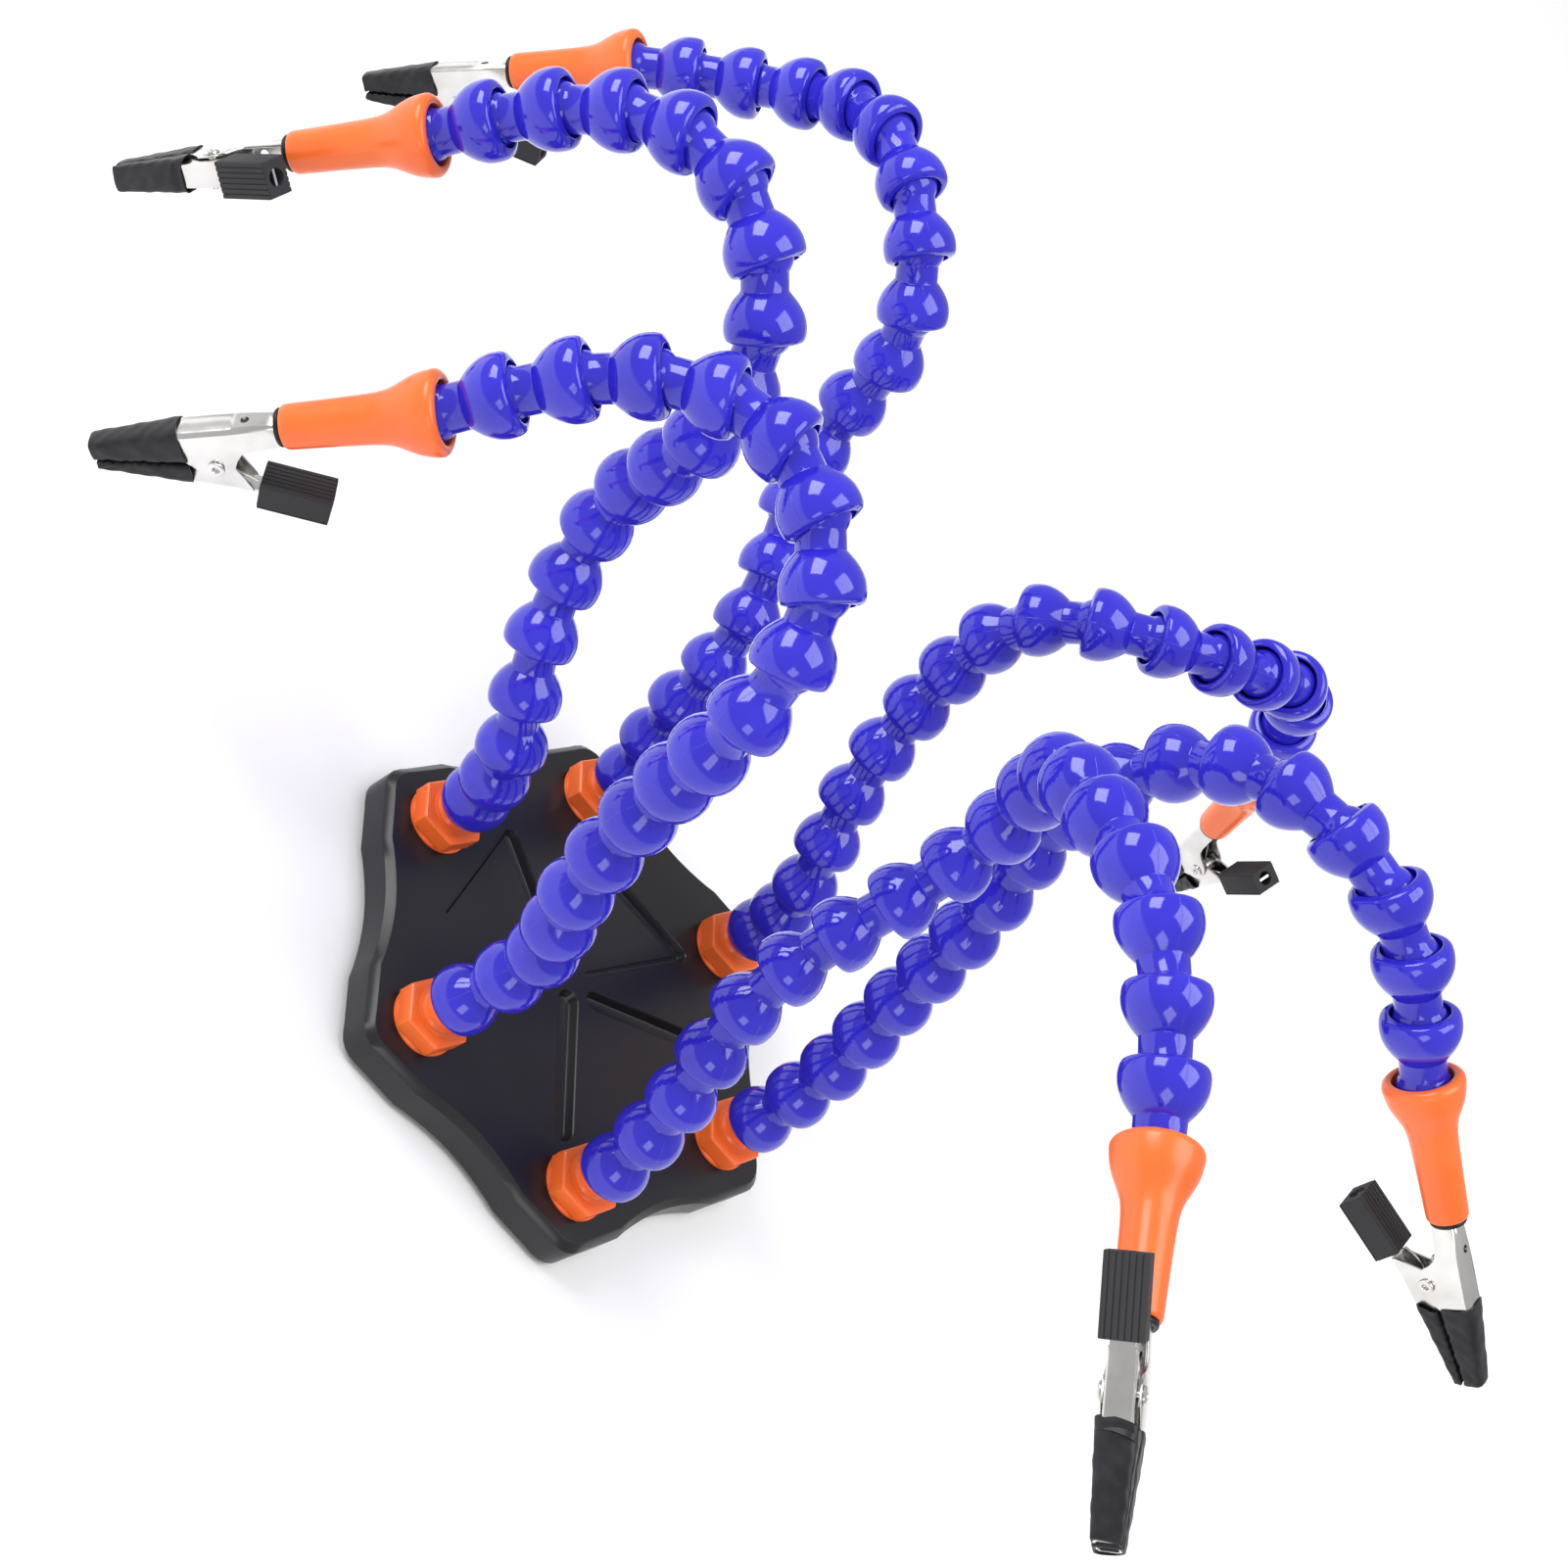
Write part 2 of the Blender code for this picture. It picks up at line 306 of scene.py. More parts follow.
@dataclass(frozen=True)
class GlossPlastic:
    """Injection-moulded acetal: a clear colour under a glossy skin."""

    name: str
    colour: Triple
    deep: Triple
    rough: float
    grain: float = 0.05
    coat: float = 0.30
    seam: bool = False

    def build(self) -> Material:
        """Make the material; a seam is the mould's parting line, on the part's own x axis."""
        p = Paint(self.name)
        height = 0.0
        if self.seam:
            local = p.node("ShaderNodeAttribute", {"attribute_name": "local"}, {}).outputs["Vector"]
            across = Value(p, p.node("ShaderNodeSeparateXYZ", {}, {0: local}).outputs[1])
            height = p.ramp(across * across, 0.035, 0.012) * 0.8
        cloud = p.noise(55.0, 2.0)
        skin = p.noise(420.0, 4.0)
        specks = p.ramp(p.noise(2600.0, 2.0), 0.66, 0.74)
        return p.finish(
            Base_Color=p.mix(p.ramp(cloud, 0.3, 0.7), self.colour, self.deep),
            Roughness=self.rough + (skin - 0.5) * 0.06 + specks * 0.12,
            Normal=p.bump(skin * self.grain + specks * 0.01 + height, 1.0, 0.05),
            IOR=1.48,
            Coat_Weight=self.coat,
            Coat_Roughness=0.04,
        )


@dataclass(frozen=True)
class PowderCoat:
    """Satin black coating with a fine peel over cast metal."""

    name: str
    colour: Triple
    worn: Triple

    def build(self) -> Material:
        """Make the material."""
        p = Paint(self.name)
        peel = p.noise(1500.0, 3.0)
        wide = p.noise(28.0, 3.0)
        dust = p.ramp(p.noise(900.0, 2.0), 0.70, 0.76)
        return p.finish(
            Base_Color=p.mix(wide * 0.5 + dust * 0.35, self.colour, self.worn),
            Roughness=0.31 + (wide - 0.5) * 0.06 + (peel - 0.5) * 0.06,
            Normal=p.bump(peel, 0.06, 0.10),
            Specular_IOR_Level=0.45,
        )


@dataclass(frozen=True)
class PlatedSteel:
    """Bright nickel over rolled strip, with faint rolling lines and handling marks."""

    name: str
    colour: Triple
    shade: Triple

    def build(self) -> Material:
        """Make the material."""
        p = Paint(self.name)
        roll = p.noise(900.0, 4.0)
        marks = p.ramp(p.noise(240.0, 6.0), 0.60, 0.80)
        cloud = p.noise(120.0, 2.0)
        return p.finish(
            Base_Color=p.mix(p.ramp(cloud, 0.35, 0.75), self.colour, self.shade),
            Metallic=1.0,
            Roughness=0.20 + roll * 0.08 + marks * 0.08,
            Normal=p.bump(roll, 0.06, 0.02),
        )


@dataclass(frozen=True)
class SoftBlack:
    """Black rubber or shrink tube: matt, a little uneven, with a faint bloom."""

    name: str
    colour: Triple
    bloom: Triple
    rough: float
    wrinkle: float
    wrinkle_scale: float

    def build(self) -> Material:
        """Make the material."""
        p = Paint(self.name)
        fold = p.noise(self.wrinkle_scale, 2.0)
        pores = p.noise(3200.0, 3.0)
        rub = p.ramp(p.noise(260.0, 5.0), 0.45, 0.80)
        return p.finish(
            Base_Color=p.mix(rub * 0.6, self.colour, self.bloom),
            Roughness=self.rough + (pores - 0.5) * 0.14 - rub * 0.05,
            Specular_IOR_Level=0.30,
            Normal=p.bump(fold * self.wrinkle + pores * 0.12, 0.5, 0.12),
        )


class Finish(Enum):
    """Every finish on the object."""

    BLUE = GlossPlastic(
        "segment_blue_acetal", (0.036, 0.028, 0.60), (0.026, 0.019, 0.50), rough=0.10, seam=True
    )
    ORANGE = GlossPlastic(
        "fitting_orange_acetal", (1.0, 0.185, 0.034), (1.0, 0.150, 0.022), rough=0.30, grain=0.09, coat=0.10
    )
    BASE = PowderCoat("base_black_coat", (0.009, 0.0086, 0.011), (0.021, 0.020, 0.024))
    STEEL = PlatedSteel("clip_bright_plate", (0.80, 0.79, 0.77), (0.66, 0.64, 0.62))
    GRIP = SoftBlack("grip_rubber", (0.015, 0.015, 0.018), (0.040, 0.040, 0.045), 0.50, 0.2, 300.0)
    SLEEVE = SoftBlack("shrink_sleeve", (0.013, 0.013, 0.016), (0.038, 0.038, 0.044), 0.40, 0.9, 420.0)
    COLLAR = SoftBlack("collar_black", (0.012, 0.010, 0.011), (0.030, 0.028, 0.030), 0.35, 0.2, 300.0)
    PAD = SoftBlack("pad_rubber", (0.015, 0.015, 0.016), (0.030, 0.030, 0.032), 0.85, 0.4, 900.0)

    def material(self) -> Material:
        """The finish's material, made once."""
        made = bpy.data.materials.get(self.value.name)
        return made or self.value.build()


# ---- mesh helpers


def loft(rings: Sequence[Sequence[np.ndarray]], closed: bool = False) -> Mesh:
    """Skin a run of rings.

    Args:
        rings: rings with the same number of points.
        closed: join the last ring to the first, in place of two caps.

    Returns:
        The points and faces.
    """
    sides = len(rings[0])
    points = [p for r in rings for p in r]
    faces: list[tuple[int, ...]] = []
    for j in range(len(rings) if closed else len(rings) - 1):
        a, b = j * sides, ((j + 1) % len(rings)) * sides
        faces += [(a + i, a + (i + 1) % sides, b + (i + 1) % sides, b + i) for i in range(sides)]
    if not closed:
        faces.append(tuple(range(sides))[::-1])
        faces.append(tuple((len(rings) - 1) * sides + i for i in range(sides)))
    return points, faces


def turned(
    axes: Axes,
    profile: Profile,
    sides: int,
    closed: bool = False,
    shape: Callable[[float, float, float], float] | None = None,
) -> Mesh:
    """Turn a profile about the z direction.

    Args:
        axes: the place and directions.
        profile: pairs of distance along z and radius.
        sides: facets round the axis.
        closed: join the profile's end to its start, for a part with a bore.
        shape: an optional rule giving the radius from angle, z and radius.

    Returns:
        The points and faces.
    """
    rings = []
    for z, r in profile:
        ring = []
        for i in range(sides):
            t = 2 * math.pi * i / sides
            size = shape(t, z, r) if shape else r
            ring.append(axes.point(size * math.cos(t), size * math.sin(t), z))
        rings.append(ring)
    return loft(rings, closed)


def raw(name: str, data: Mesh) -> Object:
    """Make a bare object in metres from points in millimetres and faces."""
    mesh = bpy.data.meshes.new(name)
    mesh.from_pydata([tuple(p * MM) for p in data[0]], [], data[1])
    mesh.update()
    made = bpy.data.objects.new(name, mesh)
    bpy.context.scene.collection.objects.link(made)
    return made


def piece(name: str, data: Mesh, finish: Finish | None, sharp: float = 32.0) -> Object:
    """Make an object in metres with outward faces.

    Args:
        name: the object's name.
        data: points in millimetres and faces.
        finish: its finish, or none for a throw-away tool.
        sharp: edges over this angle in degrees stay crisp.

    Returns:
        The object.
    """
    made = raw(name, data)
    dress(made.data, finish, sharp)
    return made


def dress(mesh: bpy.types.Mesh, finish: Finish | None, sharp: float) -> None:
    """Face a mesh outwards, shade it and give it a finish."""
    shape = bmesh.new()
    shape.from_mesh(mesh)
    bmesh.ops.remove_doubles(shape, verts=shape.verts, dist=1e-7)
    bmesh.ops.recalc_face_normals(shape, faces=shape.faces)
    shape.to_mesh(mesh)
    shape.free()
    mesh.polygons.foreach_set("use_smooth", [True] * len(mesh.polygons))
    mesh.set_sharp_from_angle(angle=math.radians(sharp))
    if finish:
        mesh.materials.clear()
        mesh.materials.append(finish.material())


def bake(made: Object) -> None:
    """Swap an object's mesh for what its modifiers make of it, and drop them."""
    bpy.context.view_layer.update()
    graph = bpy.context.evaluated_depsgraph_get()
    plain = bpy.data.meshes.new_from_object(made.evaluated_get(graph))
    made.modifiers.clear()
    old, made.data = made.data, plain
    bpy.data.meshes.remove(old)


def settle(made: Object, finish: Finish | None, sharp: float = 32.0) -> Object:
    """Turn an object's modifiers into plain mesh.

    Args:
        made: the object with modifiers.
        finish: the finish to put on.
        sharp: edges over this angle in degrees stay crisp.

    Returns:
        The same object.
    """
    bake(made)
    dress(made.data, finish, sharp)
    return made


def carve(made: Object, tool: Mesh) -> None:
    """Cut a throw-away solid out of an object."""
    cutter = piece(made.name + "_tool", tool, None)
    step = made.modifiers.new("carve", "BOOLEAN")
    step.operation, step.solver, step.object = "DIFFERENCE", "EXACT", cutter
    bake(made)
    bpy.data.objects.remove(cutter)


def soften(made: Object, width: float, segments: int = 2, angle: float = 35.0) -> None:
    """Add a small bevel, width in millimetres, to the sharp edges."""
    step = made.modifiers.new("soften", "BEVEL")
    step.width, step.segments = width * MM, segments
    step.limit_method, step.angle_limit = "ANGLE", math.radians(angle)
    step.use_clamp_overlap = True


def place(made: Object, body: str, slot: str, *nodes: str) -> Object:
    """Hand a finished piece to the frame.

    Args:
        made: the piece.
        body: the body it rides on.
        slot: the name of a material slot; not used.
        nodes: the solids it stands for.

    Returns:
        The piece.
    """
    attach(made, body)
    if nodes:
        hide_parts(*nodes)
    LOG.info("%s rides %s, %d faces", made.name, body, len(made.data.polygons))
    return made


# ---- geometry node trees


class Tree(Graph):
    """A Geometry Nodes tree with named inputs, run once on an object."""

    def __init__(self, name: str, inputs: dict[str, str]) -> None:
        """Start a tree.

        Args:
            name: the tree's name.
            inputs: socket type for each named input, after the geometry.
        """
        self.group = bpy.data.node_groups.new(name, "GeometryNodeTree")
        super().__init__(self.group)
        face = self.group.interface
        face.new_socket("Geometry", in_out="INPUT", socket_type="NodeSocketGeometry")
        face.new_socket("Geometry", in_out="OUTPUT", socket_type="NodeSocketGeometry")
        self.keys = {
            label: face.new_socket(label, in_out="INPUT", socket_type="NodeSocket" + kind).identifier
            for label, kind in inputs.items()
        }
        self.start = self.nodes.new("NodeGroupInput")
        self.end = self.nodes.new("NodeGroupOutput")

    def given(self, label: str) -> NodeSocket:
        """The socket of a named input."""
        return self.start.outputs[label]

    def close(self, geometry: NodeSocket) -> None:
        """End the tree in real geometry with its material."""
        real = self.node("GeometryNodeRealizeInstances", {}, {0: geometry})
        done = self.node(
            "GeometryNodeSetMaterial", {}, {"Geometry": real.outputs[0], "Material": self.given("Finish")}
        )
        self.put(self.end.inputs[0], done.outputs[0])

    def run(
        self, made: Object, finish: Finish, values: dict, sharp: float = 32.0
    ) -> Object:
        """Run the tree on an object and keep the result as plain mesh.

        Args:
            made: the object that carries the tree.
            finish: the finish, given to the tree's Finish input.
            values: values for the other named inputs.
            sharp: edges over this angle in degrees stay crisp.

        Returns:
            The object.
        """
        step = made.modifiers.new(self.group.name, "NODES")
        step.node_group = self.group
        step[self.keys["Finish"]] = finish.material()
        for label, value in values.items():
            step[self.keys[label]] = value
        return settle(made, finish, sharp)


def chain_tree() -> Tree:
    """A tree that sets one template on every point, turned by its own angles."""
    tree = Tree("segment_chain", {"Template": "Object", "Finish": "Material"})
    shape = tree.node(
        "GeometryNodeObjectInfo", {"transform_space": "ORIGINAL"}, {"Object": tree.given("Template")}
    )
    turn = tree.node("GeometryNodeInputNamedAttribute", {"data_type": "FLOAT_VECTOR"}, {"Name": "turn"})
    angles = tree.node("FunctionNodeEulerToRotation", {}, {0: turn.outputs[0]})
    spread = tree.node(
        "GeometryNodeInstanceOnPoints",
        {},
        {
            "Points": tree.given("Geometry"),
            "Instance": shape.outputs["Geometry"],
            "Rotation": angles.outputs[0],
        },
    )
    tree.close(spread.outputs[0])
    return tree


def row_tree() -> Tree:
    """A tree that repeats one template along a straight row."""
    tree = Tree(
        "row_of_parts",
        {"Template": "Object", "Count": "Int", "First": "Vector", "Step": "Vector", "Finish": "Material"},
    )
    shape = tree.node(
        "GeometryNodeObjectInfo", {"transform_space": "ORIGINAL"}, {"Object": tree.given("Template")}
    )
    line = tree.node(
        "GeometryNodeMeshLine",
        {"mode": "OFFSET"},
        {"Count": tree.given("Count"), "Start Location": tree.given("First"), "Offset": tree.given("Step")},
    )
    copies = {"Points": line.outputs[0], "Instance": shape.outputs["Geometry"]}
    spread = tree.node("GeometryNodeInstanceOnPoints", {}, copies)
    tree.close(spread.outputs[0])
    return tree


def coil_tree() -> Tree:
    """A tree that winds round wire into a coil about z, centred on the origin."""
    tree = Tree(
        "wire_coil",
        {
            "Turns": "Float",
            "Coil radius": "Float",
            "Wire radius": "Float",
            "Width": "Float",
            "Finish": "Material",
        },
    )
    path = tree.node(
        "GeometryNodeCurveSpiral",
        {},
        {
            "Resolution": 28,
            "Rotations": tree.given("Turns"),
            "Start Radius": tree.given("Coil radius"),
            "End Radius": tree.given("Coil radius"),
            "Height": tree.given("Width"),
        },
    )
    wire = tree.node(
        "GeometryNodeCurvePrimitiveCircle", {}, {"Resolution": 10, "Radius": tree.given("Wire radius")}
    )
    skin = tree.node(
        "GeometryNodeCurveToMesh",
        {},
        {"Curve": path.outputs[0], "Profile Curve": wire.outputs[0], "Fill Caps": True},
    )
    tree.close(skin.outputs[0])
    return tree


# ---- base


@dataclass
class Base:
    """The cast plate, its pressed grooves and the pad under it."""

    lobe: Profile = (
        (72.6, 0.0), (72.35, 1.6), (71.5, 3.2), (70.4, 4.8), (66.2, 14.2), (64.6, 16.6),
        (63.2, 19.5), (62.1, 22.6), (61.3, 26.2), (61.0, 30.0),
    )
    wall: Profile = (
        (1.0, 0.9), (1.25, 0.35), (1.8, 0.0), (9.7, 0.0), (10.05, 0.12), (11.7, 1.72), (11.93, 2.05),
        (12.0, 2.6),
    )
    grooves: tuple = (
        ((-4.0, -6.5), (-4.0, -42.0), 6.6),
        ((4.5, -3.6), (42.0, -3.6), 5.6),
        ((-25.0, 32.5), (-8.5, 4.0), 5.6),
        ((33.0, 20.8), (9.0, 34.0), 5.6),
    )
    lines: tuple = (((-28.0, 32.0), (-44.0, 3.5), 0.9), ((33.0, 19.4), (2.0, 3.0), 2.0))
    groove_depth: float = 2.6
    line_depth: float = 0.7
    top: float = 12.0
    pad_inset: float = 2.6
    pad_top: float = 0.9

    def outline(self, inset: float, z: float) -> list[np.ndarray]:
        """The six-lobed outline.

        Args:
            inset: how far the line is drawn in.
            z: its height.

        Returns:
            The points, anticlockwise.
        """
        half = list(self.lobe)
        around = [(r, -a) for r, a in half[:0:-1]] + half[:-1]
        points = []
        for k in range(6):
            for r, a in around:
                t = math.radians(30 + 60 * k + a)
                points.append(vec((r - inset) * math.cos(t), (r - inset) * math.sin(t), z))
        return points

    @staticmethod
    def trough(start: tuple, end: tuple, width: float, depth: float, top: float) -> Mesh:
        """A round-ended cutter that narrows downwards: shares of the depth and of the width."""
        wall = (
            (-0.5, 1.10), (0.0, 1.0), (0.06, 0.94), (0.16, 0.89), (0.80, 0.68), (0.95, 0.58),
            (1.0, 0.44),
        )
        a, b = vec(*start, 0), vec(*end, 0)
        along = unit(b - a)
        across = vec(-along[1], along[0], 0)
        rings = []
        for drop, share in wall:
            ring = []
            for centre, first in ((b, -90), (a, 90)):
                for i in range(13):
                    t = math.radians(first + 15 * i)
                    out = along * math.cos(t) + across * math.sin(t)
                    ring.append(centre + out * width / 2 * share + vec(0, 0, top - drop * depth))
            rings.append(ring)
        return loft(rings)

    def build(self) -> None:
        """Make the plate and the pad."""
        plate = piece("base_plate_cast", loft([self.outline(i, z) for z, i in self.wall]), Finish.BASE)
        for cuts, depth in ((self.grooves, self.groove_depth), (self.lines, self.line_depth)):
            for start, end, width in cuts:
                carve(plate, self.trough(start, end, width, depth, self.top))
        dress(plate.data, Finish.BASE, 24.0)
        place(plate, "base", "base_black", "base_plate")
        inset = self.pad_inset
        top = self.pad_top
        rings = [(0.0, inset + 0.3), (0.15, inset), (top - 0.1, inset), (top, inset + 0.2)]
        pad = piece("base_pad_sheet", loft([self.outline(i, z) for z, i in rings]), Finish.PAD)
        place(pad, "base", "pad_rubber", "base_pad")


# ---- arms


@dataclass(frozen=True)
class Route:
    """One arm's fitting angle, way-points and the side its clip handle is on."""

    angle: float
    points: tuple[Triple, ...]
    handle: Triple


ROUTES: dict[str, Route] = {
    "arm1": Route(
        150.0,
        ((-61, 25, 57), (-72, 37, 79), (-80, 54, 116), (-86, 46, 146), (-94, 55, 176),
         (-115, 80, 186), (-130, 94, 173), (-152, 101, 133), (-190, 108, 71)),
        (-0.47, -0.86, 0.18),
    ),
    "arm2": Route(
        90.0,
        ((-8, 61, 57), (-12, 71, 87), (-19, 105, 122), (-23, 110, 148), (-35, 122, 168),
         (-49, 151, 171), (-57, 171, 152), (-86, 183, 121), (-124, 196, 61)),
        (0.70, -0.46, -0.54),
    ),
    "arm3": Route(
        30.0,
        ((38, 25, 54), (28, 36, 81), (20, 50, 123), (17, 48, 155), (34.5, 39.5, 176.3), (63, 40, 184),
         (90.6, 49.2, 175.7), (100.4, 51.4, 164.3), (121, 55, 142.5), (157, 64, 81)),
        (0.58, -0.78, 0.22),
    ),
    "arm4": Route(
        -30.0,
        ((45, -25, 56), (38, -20, 85), (26, -14, 127), (17, -7, 158), (17, -7.5, 188), (21.3, -23, 213),
         (39.3, -45, 222.3), (50.7, -54.3, 218.7), (71, -72.5, 205.3), (120, -118.5, 179)),
        (-0.20, 0.31, -0.93),
    ),
    "arm5": Route(
        -90.0,
        ((-6, -49, 58), (-12, -38, 86), (-6, -26, 126), (-2, -18, 153), (-15, -21, 181),
         (-25, -42, 199), (-26, -66, 210), (-22, -115, 203), (-32, -186, 193)),
        (-0.83, 0.04, 0.56),
    ),
    "arm6": Route(
        -150.0,
        ((-48, -27, 53), (-60, -29, 78), (-74, -25, 128), (-81, -27, 156), (-85, -12, 182),
         (-102, 17, 187), (-120, 28, 173), (-145, 28, 134), (-187, 31, 75)),
        (0.79, -0.20, -0.58),
    ),
}


@dataclass
class Fitting:
    """The hexagonal foot of an arm, with its flange and ball."""

    across: float = 8.5
    corner: float = 9.7
    sides: int = 96
    body: Profile = (
        (12.02, 8.6), (12.05, 8.85), (12.2, 9.0), (12.75, 9.0), (12.9, 8.9), (12.95, 8.6), (13.15, 8.3),
    )
    nut: Profile = (
        (13.2, 0.90), (13.3, 0.965), (13.5, 1.0), (17.75, 1.0), (18.1, 0.985), (18.35, 0.95), (18.45, 0.90),
    )
    neck: Profile = (
        (18.5, 7.6), (18.6, 6.4), (19.0, 5.5), (19.8, 5.0), (22.6, 4.9), (23.35, 4.95), (24.1, 5.45),
        (25.2, 5.9), (27.0, 6.15), (28.8, 5.88), (30.3, 5.17), (31.4, 4.25), (31.7, 3.6), (31.7, 3.1),
        (27.0, 3.0),
    )

    def hexagon(self, t: float, z: float, r: float) -> float:
        """The radius at an angle: a share of the hexagon within the nut, else r."""
        if not self.nut[0][0] <= z <= self.nut[-1][0]:
            return r
        turn = (t + math.pi / 6) % (math.pi / 3) - math.pi / 6
        return r * min(self.across / math.cos(math.pi / 6 - abs(turn)), self.corner)

    def build(self, arm: str, foot: np.ndarray) -> None:
        """Make the fitting.

        Args:
            arm: the arm's name.
            foot: the centre of its foot, at height 0.
        """
        axes = Axes(foot, unit(foot), vec(0, 0, 1))
        profile = [*self.body, *self.nut, *self.neck]
        data = turned(axes, profile, self.sides, shape=self.hexagon)
        made = piece(f"{arm}_hex_fitting", data, Finish.ORANGE, 14.0)
        place(made, "base", "fitting_orange", f"{arm}_fitting")


@dataclass
class Segment:
    """One link of an arm: an open socket, a short neck and a ball."""

    sides: int = 44
    outside: Profile = (
        (-2.95, 6.42), (-3.05, 6.6), (-3.03, 6.9), (-2.72, 7.72), (-2.5, 8.08), (-2.15, 8.34),
        (-1.5, 8.56), (-0.6, 8.69), (0.5, 8.72), (1.8, 8.58), (3.0, 8.24), (4.2, 7.7), (5.3, 7.05),
        (6.3, 6.3), (7.1, 5.62), (7.5, 5.28), (7.62, 5.16), (7.8, 5.1), (11.5, 5.05), (11.75, 5.12),
        (12.2, 5.42), (13.2, 5.82), (14.2, 6.06), (15.2, 6.15), (16.6, 5.99), (17.9, 5.53), (18.9, 4.92),
        (19.5, 4.4), (19.7, 4.1), (19.7, 3.2), (16.5, 3.1),
    )
    inside: Profile = (
        (6.3, 2.2), (5.6, 3.7), (4.4, 4.95), (2.8, 5.95), (1.2, 6.45), (-0.4, 6.57), (-1.6, 6.5),
        (-2.6, 6.4),
    )

    def template(self) -> Object:
        """The link as an object with its socket centre at the origin."""
        axes = Axes(vec(0, 0, 0), vec(1, 0, 0), vec(0, 0, 1))
        data = turned(axes, [*self.inside, *self.outside], self.sides)
        made = piece("segment_template", data, Finish.BLUE, 40.0)
        local = made.data.attributes.new("local", "FLOAT_VECTOR", "POINT")
        local.data.foreach_set("vector", [c / MM for v in made.data.vertices for c in v.co])
        return made


@dataclass
class Nozzle:
    """The flared tube that takes the last ball and holds the clip."""

    sides: int = 56
    end: float = 30.5
    profile: Profile = (
        (-2.6, 6.55), (-1.4, 6.6), (0.0, 6.6), (1.8, 6.35), (3.6, 5.6), (5.2, 4.5), (6.4, 3.7),
        (12.0, 3.6), (30.2, 3.5), (30.5, 3.7), (30.58, 4.0), (30.45, 4.35), (30.0, 4.58), (29.0, 4.66),
        (20.0, 4.88), (13.0, 5.14), (10.6, 5.32), (8.8, 5.62), (7.2, 6.12), (5.6, 6.85), (4.0, 7.6),
        (2.4, 8.2), (0.9, 8.56), (-0.3, 8.74), (-0.75, 8.8), (-1.3, 8.86), (-1.9, 8.78), (-2.4, 8.5),
        (-2.78, 8.05), (-2.95, 7.45), (-2.9, 6.9), (-2.8, 6.65),
    )
    collar: Profile = (
        (28.6, 2.9), (28.6, 3.4), (30.62, 3.45), (30.7, 3.8), (30.95, 4.0), (31.4, 4.0), (31.7, 3.8),
        (31.8, 3.4), (31.75, 2.9), (31.2, 2.6), (30.0, 2.6),
    )

    def build(self, arm: str, axes: Axes) -> None:
        """Make the tube and the black collar in its end."""
        body = f"{arm}_clip"
        data = turned(axes, self.profile, self.sides, True)
        tube = piece(f"{arm}_flared_nozzle", data, Finish.ORANGE, 50.0)
        place(tube, body, "fitting_orange", f"{arm}_nozzle")
        ring = piece(f"{arm}_collar", turned(axes, self.collar, 40, True), Finish.COLLAR, 40.0)
        place(ring, body, "grip_rubber")


@dataclass(frozen=True)
class Station:
    """One cross-section of a folded jaw: web height, edge height and half widths."""

    u: float
    web: float
    edge: float
    half: float
    flat: float
    drop: float


